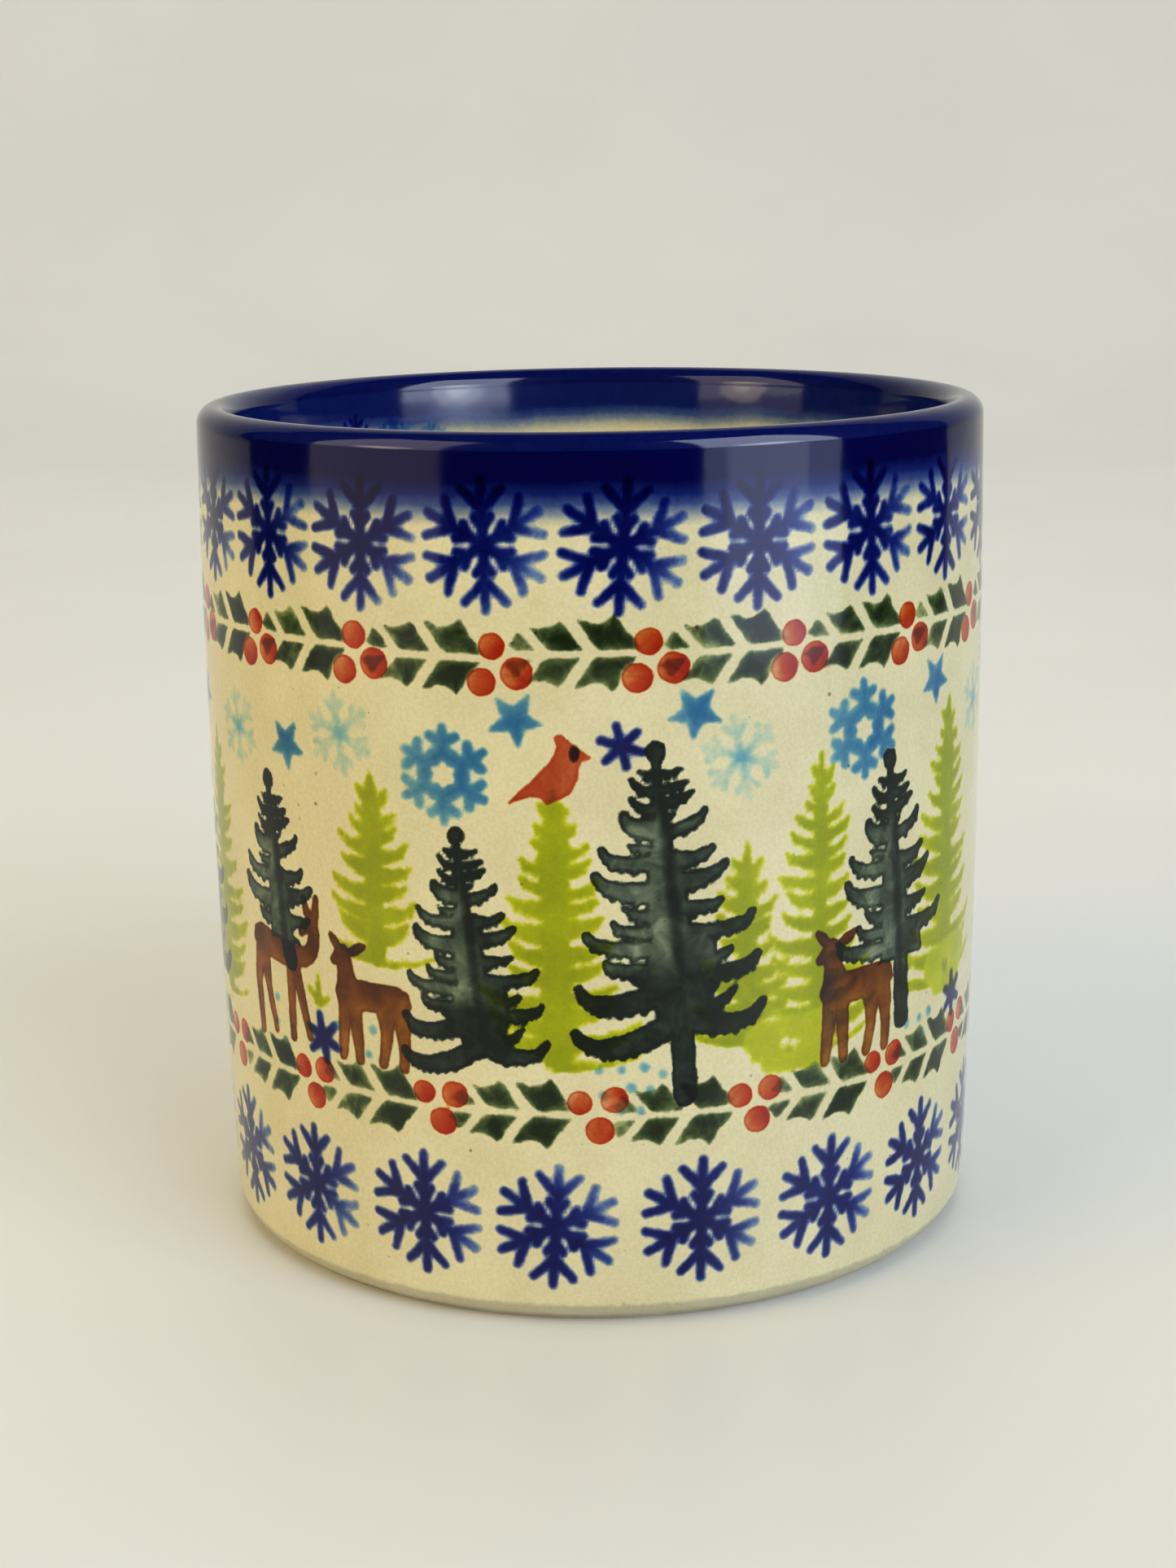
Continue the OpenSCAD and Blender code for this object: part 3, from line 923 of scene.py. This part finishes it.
def glazeMaterial(name, used, cobalt=False):
    material = bpy.data.materials.new(name)
    material.use_nodes = True
    tree = material.node_tree
    tree.nodes.clear()
    ground = addNode(tree, "Group", node_tree=creamGlaze)
    for label, key in (("Light", "light"), ("Dark", "dark"), ("Speck", "speck"),
                       ("Speck Share", "speckShare")):
        ground.inputs[label].default_value = cream[key]
    brush = addNode(tree, "Group", node_tree=brushNoise).outputs
    load = addNode(tree, "Attribute", attribute_name="load").outputs["Fac"]
    color = ground.outputs["Color"]
    for ink in [n for n in layerOrder if n in used]:
        distance = addNode(tree, "Attribute", attribute_name=ink).outputs["Fac"]
        layer = addNode(tree, "Group", node_tree=inkLayer)
        layer.label = ink
        for label, value in inks[ink].items():
            layer.inputs[label].default_value = value
        for label, socket in (("Color", color), ("Ground", ground.outputs["Color"]), ("Distance", distance),
                              ("Wobble", brush["Wobble"]), ("Wash", brush["Wash"]), ("Load", load)):
            tree.links.new(socket, layer.inputs[label])
        color = layer.outputs["Color"]
    if cobalt:
        level = addNode(tree, "Attribute", attribute_name="dip").outputs["Fac"]
        level = calc(tree, "MULTIPLY_ADD", brush["Wobble"], 0.16, level)
        strength = ramp(tree, level, dipSpan[0], dipSpan[1], 0.0, 1.0, False)
        stops = addNode(tree, "ValToRGB", {0: strength})
        elements = stops.color_ramp.elements
        while len(elements) < len(cobaltStops):
            elements.new(0.5)
        for element, (at, tint) in zip(elements, cobaltStops):
            element.position = at
            element.color = (*tint, 1)
        stops.color_ramp.interpolation = "LINEAR"
        color = mixColor(tree, 1.0, color, stops.outputs[0], "MULTIPLY")
    bump = addNode(tree, "Bump", {"Strength": 1.0, "Distance": cream["rippleHeight"] * mm,
                                  "Height": ground.outputs["Height"]})
    shader = addNode(tree, "BsdfPrincipled", {"Base Color": color, "IOR": 1.5, "Specular IOR Level": 0.2,
                                              "Roughness": ground.outputs["Roughness"],
                                              "Normal": bump.outputs[0]})
    addNode(tree, "OutputMaterial", {"Surface": shader.outputs[0]})
    return material


# the turned pieces

coat = mug["coat"]


def makeBand(name, low, high, cobalt=False):
    steps = max(2, round((high - low) / cellSize) + 1)
    heights = np.linspace(low, high, steps)
    front = [(outerRadius(z), z) for z in heights]
    back = [(outerRadius(z) - coat, z) for z in (high, low)]
    parts = [(sampleCanvas(wallCanvas, heights), steps)]
    if cobalt:
        parts[0][0]["dip"] = heights[:, None] - outsideEdge[None, :]
    fields = stackFields(parts + [({}, 2)])
    used = keepUsed(fields)
    piece = skinMesh(name, turnLine(front + back, columnAcross), fields, True, False)
    return finishPiece(piece, glazeMaterial(name + "_glaze", used, cobalt), "decorated_glaze")


bands = [
    ("snowflake_band", 77.3, mug["bandFoot"], True),
    ("upper_holly_band", 68.6, 77.3, False),
    ("forest_sky_band", 48.5, 68.6, False),
    ("forest_band", 28.6, 48.5, False),
    ("lower_holly_band", 19.6, 28.6, False),
]
for name, low, high, cobalt in bands:
    piece = makeBand(name, low, high, cobalt)
    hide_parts("outer_clear_glaze")


def makeFootBand():
    # the last band turns in over the rounded foot and stops just above the table
    foot = footLine(cellSize)
    low, high = mug["footRound"], bands[-1][1]
    heights = np.linspace(low, high, round((high - low) / cellSize) + 1)
    front = foot + [(outerRadius(z), z) for z in heights]
    back = [(outerRadius(z) - coat, z) for z in (high, low)] + footLine(1.2, coat)[::-1]
    wallFields = sampleCanvas(wallCanvas, heights)
    wallFields["thin"] = np.repeat(mug["thinFoot"] - heights[:, None], columnCount, axis=1)
    footFields = {"thin": np.repeat(mug["thinFoot"] - np.array(foot)[:, 1:], columnCount, axis=1)}
    fields = stackFields([(footFields, len(foot)), (wallFields, len(heights)), ({}, len(back))])
    used = keepUsed(fields)
    piece = skinMesh("foot_snowflake_band", turnLine(front + back, columnAcross), fields, True, False)
    finishPiece(piece, glazeMaterial("foot_snowflake_glaze", used), "decorated_glaze", "outer_clear_glaze")


makeFootBand()


def makeRim():
    low, high = mug["bandFoot"], lipHeight
    steps = round((high - low) / cellSize) + 1
    outer = np.linspace(low, high, steps)
    inner = outer[::-1]
    lip = lipLine(cellSize)
    front = [(outerRadius(z), z) for z in outer] + lip + [(innerRadius(z), z) for z in inner]
    back = insideLine(low, high, 2.0, coat) + lipLine(0.8, coat)[::-1] + outsideLine(high, low, 2.0, coat)
    outerFields = sampleCanvas(wallCanvas, outer)
    outerFields["dip"] = outer[:, None] - outsideEdge[None, :]
    # the lip's cobalt is held paler: partly a real thinner coat on the crest, partly a painted highlight
    lipFields = {"dip": np.full((len(lip), columnCount), dip["lipThinCoatAndHighlightLevel"])}
    innerFields = sampleCanvas(insideCanvas, inner)
    # the inside cobalt is held paler here: painted light for the light falling inside the cup
    innerFields["dip"] = np.minimum(inner[:, None] - insideEdge[None, :], dip["insidePaintedLightLevel"])
    fields = stackFields([(outerFields, steps), (lipFields, len(lip)), (innerFields, steps), ({}, len(back))])
    used = keepUsed(fields)
    piece = skinMesh("cobalt_rim", turnLine(front + back, columnAcross), fields, True, False)
    finishPiece(piece, glazeMaterial("cobalt_rim_dip", used, True), "cobalt_glaze", "cobalt_rim_glaze")


makeRim()


def makeInside():
    every = 2
    across = columnAcross[::every]
    fine = np.linspace(mug["bandFoot"], mug["bandFoot"] - 8.5, 27)
    coarse = np.linspace(mug["bandFoot"] - 8.5, cornerHeight, 50)[1:]
    heights = np.concatenate([fine, coarse])
    reach = np.linspace(cornerCentre, 0.8, 20)[1:]
    front = [(innerRadius(z), z) for z in heights] + cornerLine(1.0) + [(r, mug["floorTop"]) for r in reach]
    back = [(innerRadius(z) + coat, z) for z in np.linspace(mug["bandFoot"], cornerHeight, 14)]
    back += cornerLine(1.2, coat)
    back += [(r, mug["floorTop"] - coat) for r in reach[::4]] + [(0.8, mug["floorTop"] - coat)]
    wallFields = sampleCanvas(insideCanvas, heights, every)
    # the inside cobalt is held paler here: painted light for the light falling inside the cup
    wallFields["dip"] = np.minimum(heights[:, None] - insideEdge[None, ::every], dip["insidePaintedLightLevel"])
    rest = len(front) - len(heights)
    fields = stackFields([({}, len(back)), (wallFields, len(heights)), ({}, rest)])
    used = keepUsed(fields)
    piece = skinMesh("cream_inside", turnLine(back[::-1] + front, across), fields, False, True)
    finishPiece(piece, glazeMaterial("cream_inside_glaze", used, True), "cream_glaze", "inner_clear_glaze")


makeInside()
print("cup glazed")


# handle

handleLow, handleHigh = boxMm("handle_glaze")
strap = {
    "width": handleHigh[0] - handleLow[0],
    "thick": 7.5,
    "top": 78.0,             # height of the strap's middle at its upper root
    "levelEnd": 54.0,
    "upperBend": 17.0,
    "grip": 4.0,
    "lowerBend": 38.0,
    "sink": 2.2,             # how far the strap runs into the wall
    "flare": 0.9,            # how much wider it is at its roots, each side
    "square": 2.5,           # how square the section is
    "cell": 0.4,
}
gripReach = handleHigh[1] - strap["thick"] / 2


def strapPath():
    # (y, z) of the strap's middle and the direction it runs in, from the upper root to the lower
    wall = outerRadius(strap["top"])
    bendTop = strap["top"] - strap["upperBend"]
    bendLow = bendTop - strap["grip"]
    centre = gripReach - strap["lowerBend"]
    last = pi / 2 - 0.001
    for _ in range(30):
        z = bendLow - strap["lowerBend"] * sin(last)
        last = np.arccos((outerRadius(z) - centre) / strap["lowerBend"])
    last += strap["sink"] / strap["lowerBend"]
    lengths = [strap["levelEnd"] - wall + strap["sink"], strap["upperBend"] * pi / 2, strap["grip"],
               strap["lowerBend"] * last]
    total = sum(lengths)
    stations = np.linspace(0, total, round(total / strap["cell"]) + 1)
    path = []
    for s in stations:
        if s < lengths[0]:
            path.append((wall - strap["sink"] + s, strap["top"], 1.0, 0.0))
        elif s < lengths[0] + lengths[1]:
            a = (s - lengths[0]) / strap["upperBend"]
            path.append((strap["levelEnd"] + strap["upperBend"] * sin(a),
                         bendTop + strap["upperBend"] * cos(a), cos(a), -sin(a)))
        elif s < sum(lengths[:3]):
            path.append((gripReach, bendTop - (s - lengths[0] - lengths[1]), 0.0, -1.0))
        else:
            a = (s - sum(lengths[:3])) / strap["lowerBend"]
            path.append((centre + strap["lowerBend"] * cos(a), bendLow - strap["lowerBend"] * sin(a),
                         -sin(a), -cos(a)))
    return stations, np.array(path)


def strapSection(wide, thick, count):
    # closed section, evenly spaced from the middle of the outer face
    a = np.linspace(0, 2 * pi, 1441)
    power = 2 / strap["square"]
    x = wide / 2 * np.sign(np.sin(a)) * np.abs(np.sin(a)) ** power
    t = thick / 2 * np.sign(np.cos(a)) * np.abs(np.cos(a)) ** power
    run = np.concatenate([[0], np.cumsum(np.hypot(np.diff(x), np.diff(t)))])
    at = np.linspace(0, run[-1], count + 1)[:-1]
    return np.interp(at, run, x), np.interp(at, run, t), run[-1]


def makeHandle():
    stations, path = strapPath()
    _, _, girth = strapSection(strap["width"], strap["thick"], 96)
    count = round(girth / strap["cell"])
    across = (np.arange(count)) * (girth / count)
    across = np.where(across > girth / 2, across - girth, across)
    order = np.argsort(across)
    canvas = makeCanvas(across[order], stations, True)
    motifs = np.arange(12, stations[-1] - 9, 8.2)
    for k, s in enumerate(motifs):
        if k % 2 == 0:
            stampInk(canvas, "navy", 0, s, 4, asterisk, radians(rng.uniform(-12, 12)), 0.95, 1,
                     leanLoad(0.1, 1, 0.6))
        else:
            for bx, by in ((-1.1, 0.6), (1.1, 0.6), (0, -1.0)):
                stampInk(canvas, "berry", bx, s + by, 2, berry, 0, 0.62, 1, leanLoad(0.4, 1, 0.5, 1.5))
    edge = np.abs(np.abs(canvas["across"]) - girth / 4)
    canvas["inks"]["edge"] = np.repeat((3.5 - edge)[None, :], len(stations), 0).astype(np.float32)
    roots = np.minimum(stations, stations[-1] - stations)
    canvas["inks"]["edge"] = np.maximum(canvas["inks"]["edge"], (7.5 - roots)[:, None]).astype(np.float32)
    back = np.argsort(order)
    fields = {n: layer[:, back] for n, layer in canvas["inks"].items() if n in ("navy", "berry", "edge")}
    fields["load"] = canvas["load"][:, back]
    points = np.empty((len(stations), count, 3))
    for i, (y, z, dy, dz) in enumerate(path):
        widen = strap["flare"] * exp(-roots[i] / 5.0)
        x, t, _ = strapSection(strap["width"] + 2 * widen, strap["thick"] + widen, count)
        points[i, :, 0] = x
        points[i, :, 1] = y - t * dz
        points[i, :, 2] = z + t * dy
    piece = skinMesh("strap_handle_glazed", points, fields, False, True)
    return piece, path


# bare clay

def makeClay():
    material = bpy.data.materials.new("bare_clay")
    material.use_nodes = True
    tree = material.node_tree
    tree.nodes.clear()
    place = millimetres(tree)
    cloud = ramp(tree, noise(tree, place, 0.2, 4, 0.6), 0.3, 0.7)
    color = mixColor(tree, cloud, (0.56, 0.5, 0.37, 1), (0.47, 0.41, 0.29, 1))
    grit = noise(tree, place, 3.2, 4, 0.7)
    color = mixColor(tree, ramp(tree, grit, 0.6, 0.75), color, (0.3, 0.24, 0.17, 1))
    bump = addNode(tree, "Bump", {"Strength": 0.6, "Distance": 0.06 * mm, "Height": grit})
    shader = addNode(tree, "BsdfPrincipled", {"Base Color": color, "Normal": bump.outputs[0],
                                              "Roughness": ramp(tree, grit, 0.2, 0.8, 0.62, 0.85, False)})
    addNode(tree, "OutputMaterial", {"Surface": shader.outputs[0]})
    return material


clay = makeClay()
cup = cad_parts["stoneware_cup"]
cup.data.materials.clear()
cup.data.materials.append(clay)


def handleGlaze():
    # the handle's own glaze: cream down the middle, cobalt brushed along both edges and round the roots
    material = glazeMaterial("handle_glaze_painted", ["berry", "navy"])
    tree = material.node_tree
    shader = tree.nodes["Principled BSDF"]
    color = shader.inputs["Base Color"].links[0].from_socket
    brush = next(n for n in tree.nodes if n.type == "GROUP" and n.node_tree == brushNoise).outputs
    layer = addNode(tree, "Group", node_tree=inkLayer)
    edge = addNode(tree, "Attribute", attribute_name="edge").outputs["Fac"]
    for label, socket in (("Color", color), ("Distance", edge), ("Wobble", brush["Wobble"]),
                          ("Wash", brush["Wash"])):
        tree.links.new(socket, layer.inputs[label])
    for label, value in {"Deep": (0.003, 0.003, 0.11, 1), "Pale": (0.05, 0.08, 0.42, 1), "Softness": 0.5,
                         "Drift": 0.3, "Load": 0.8, "Pool": 0.0, "Watery": 0.35}.items():
        layer.inputs[label].default_value = value
    tree.links.new(layer.outputs["Color"], shader.inputs["Base Color"])
    return material


handlePaint = handleGlaze()
handlePiece, handlePath = makeHandle()
finishPiece(handlePiece, handlePaint, "handle_glaze", "strap_handle", "handle_glaze")

fillet = {
    "margin": 2.0,           # how far it stands out round the strap
    "reach": 2.5,            # how far it runs out from the wall
    "steps": 9,
    "count": 96,
}


def makeFillet(name, node, root, along):
    # a cove of slip between strap and wall; root is on the strap's middle, along is its direction outwards
    widen = strap["flare"] * 0.6
    x, t, _ = strapSection(strap["width"] + 2 * widen, strap["thick"] + widen, fillet["count"])
    nx, nt = np.roll(t, 1) - np.roll(t, -1), np.roll(x, -1) - np.roll(x, 1)
    size = np.hypot(nx, nt)
    nx, nt = nx / size, nt / size
    if (nx * x + nt * t).sum() < 0:
        nx, nt = -nx, -nt
    rings = []
    for k in range(fillet["steps"] + 1):
        a = pi / 2 * k / fillet["steps"]
        rings.append((fillet["margin"] * (1 - cos(a)) - 0.12 * (1 - sin(a)),
                      fillet["reach"] * (1 - sin(a)) - 0.1 * sin(a)))
    rings.append((-0.8, -0.8))
    points = np.empty((len(rings), fillet["count"], 3))
    dy, dz = along
    for i, (margin, outward) in enumerate(rings):
        px = x + nx * margin
        lift = t + nt * margin
        y, z = root[0] - lift * dz, root[1] + lift * dy
        d = np.zeros(len(px))
        for _ in range(12):
            d -= (np.hypot(px, y + d * dy) - outerRadius(z + d * dz) - outward) / dy
        points[i] = np.stack([px, y + d * dy, z + d * dz], -1)
    fields = {"edge": np.full(points.shape[:2], 4.0), "load": np.full(points.shape[:2], 0.7)}
    piece = skinMesh(name, points, fields, True, False)
    finishPiece(piece, handlePaint, "handle_glaze", node)


upperRoot = handlePath[0]
lowerRoot = handlePath[-1]
makeFillet("upper_root_fillet", "upper_slip_joint", upperRoot[:2], upperRoot[2:])
makeFillet("lower_root_fillet", "lower_slip_joint", lowerRoot[:2], -lowerRoot[2:])
print("handle made")


# stage: floor, lights and world

stageSetup = {
    "floor": (0.77, 0.77, 0.72, 1),
    "floorBack": 0.85,       # where the floor starts to curve up behind, metres
    "sweep": 0.5,
    "world": (0.96, 0.98, 1.0),
    "worldStrength": 0.36,
    "cardDistance": 0.46,
    "cardHeight": 0.75,
    "cardSpan": (-108, 118),
}
# name, azimuth from the front and height in degrees, distance, width and height, height of the bottom edge
# or None to aim at the mug, radiance, colour, and what it lights: the glaze's reflections or the surface
softboxes = [
    ("right_window", 50, 0, 0.43, (0.46, 0.16), 0, 3.2, (0.72, 0.84, 1.15), "gloss"),
    ("right_bright", 48, 0, 0.425, (0.18, 0.16), 0, 2.2, (0.8, 0.88, 1.1), "gloss"),
    ("right_upper", 50, 0, 0.43, (0.46, 0.55), 0.16, 10.0, (0.86, 0.95, 1.1), "gloss"),
    ("right_spot", 49, 0, 0.42, (0.15, 0.09), 0.145, 6.0, (0.9, 1.0, 1.05), "gloss"),
    ("right_core", 49, 0, 0.415, (0.07, 0.045), 0.17, 8.0, (0.95, 1.0, 1.0), "gloss"),
    ("left_room", -61, 0, 0.43, (0.5, 0.16), 0, 1.3, (1.0, 0.84, 0.72), "gloss"),
    ("left_upper", -61, 0, 0.43, (0.5, 0.55), 0.16, 3.8, (1.0, 0.86, 0.78), "gloss"),
    ("left_spot", -58, 0, 0.42, (0.14, 0.09), 0.145, 4.0, (1.0, 0.78, 0.5), "gloss"),
    ("left_core", -58, 0, 0.415, (0.07, 0.045), 0.17, 6.0, (1.0, 0.78, 0.45), "gloss"),
    ("top_soft", 180, 74, 1.5, (1.6, 1.6), None, 1.1, (1.0, 1.0, 0.98), "surface"),
    ("left_fill", -60, 34, 1.7, (1.25, 1.25), None, 2.55, (1.0, 0.72, 0.22), "surface"),
    ("right_fill", 42, 34, 1.7, (1.25, 1.25), None, 2.65, (0.92, 1.08, 1.36), "surface"),
]


def addSoftbox(name, azimuth, rise, distance, sides, bottom, radiance, color, lights):
    width, height = sides
    data = bpy.data.lights.new(name, "AREA")
    data.shape = "ELLIPSE" if width < 0.17 else "RECTANGLE"
    data.size, data.size_y = width, height
    data.energy = radiance * width * height * pi
    data.color = color
    lamp = bpy.data.objects.new(name, data)
    a, e = radians(azimuth), radians(rise)
    away = Vector((sin(a) * cos(e), -cos(a) * cos(e), sin(e)))
    lamp.location = away * distance + Vector((0, 0, 0.05 if bottom is None else bottom + height / 2))
    lamp.rotation_euler = away.to_track_quat("Z", "Y").to_euler()
    lamp.visible_camera = False
    lamp.visible_glossy = lights != "surface"
    lamp.visible_diffuse = lights != "gloss"
    scene.collection.objects.link(lamp)


def makeStage():
    floorMaterial = bpy.data.materials.new("pale_floor")
    floorMaterial.use_nodes = True
    tree = floorMaterial.node_tree
    tree.nodes.clear()
    place = addNode(tree, "TexCoord").outputs["Object"]
    cloud = ramp(tree, noise(tree, place, 7.0, 3, 0.5), 0.3, 0.7)
    light = stageSetup["floor"]
    color = mixColor(tree, cloud, light, tuple(v * 0.96 for v in light[:3]) + (1,))
    shader = addNode(tree, "BsdfPrincipled", {"Base Color": color, "Roughness": 0.38})
    addNode(tree, "OutputMaterial", {"Surface": shader.outputs[0]})
    # the floor runs back and sweeps up into a backdrop
    line = [(-2.5, 0.0), (stageSetup["floorBack"], 0.0)]
    for k in range(1, 13):
        a = pi / 2 * k / 12
        line.append((stageSetup["floorBack"] + stageSetup["sweep"] * sin(a),
                     stageSetup["sweep"] * (1 - cos(a))))
    line.append((line[-1][0], 2.2))
    vertices = [(side * 2.5, y, z) for y, z in line for side in (-1, 1)]
    faces = [(2 * i, 2 * i + 1, 2 * i + 3, 2 * i + 2) for i in range(len(line) - 1)]
    mesh = bpy.data.meshes.new("floor")
    mesh.from_pydata(vertices, [], faces)
    mesh.polygons.foreach_set("use_smooth", [True] * len(faces))
    mesh.materials.append(floorMaterial)
    floorPiece = bpy.data.objects.new("floor", mesh)
    scene.collection.objects.link(floorPiece)
    # a dark card behind the camera, seen only in the glaze
    cardMaterial = bpy.data.materials.new("dark_card")
    cardMaterial.use_nodes = True
    cardShader = cardMaterial.node_tree.nodes["Principled BSDF"]
    cardShader.inputs["Base Color"].default_value = (0.01, 0.01, 0.012, 1)
    cardShader.inputs["Roughness"].default_value = 1.0
    turns = np.radians(np.linspace(*stageSetup["cardSpan"], 25))
    distance, high = stageSetup["cardDistance"], stageSetup["cardHeight"]
    vertices = [(distance * sin(a), -distance * cos(a), z) for a in turns for z in (0.002, high)]
    faces = [(2 * i, 2 * i + 2, 2 * i + 3, 2 * i + 1) for i in range(len(turns) - 1)]
    mesh = bpy.data.meshes.new("dark_card")
    mesh.from_pydata(vertices, [], faces)
    mesh.materials.append(cardMaterial)
    card = bpy.data.objects.new("dark_card", mesh)
    for ray in ("camera", "diffuse", "shadow"):
        setattr(card, "visible_" + ray, False)
    scene.collection.objects.link(card)
    world = bpy.data.worlds.new("pale_room")
    world.use_nodes = True
    background = world.node_tree.nodes["Background"]
    background.inputs["Color"].default_value = (*stageSetup["world"], 1)
    background.inputs["Strength"].default_value = stageSetup["worldStrength"]
    world.cycles_visibility.glossy = False
    scene.world = world
    for box in softboxes:
        addSoftbox(*box)


makeStage()
print("stage set")
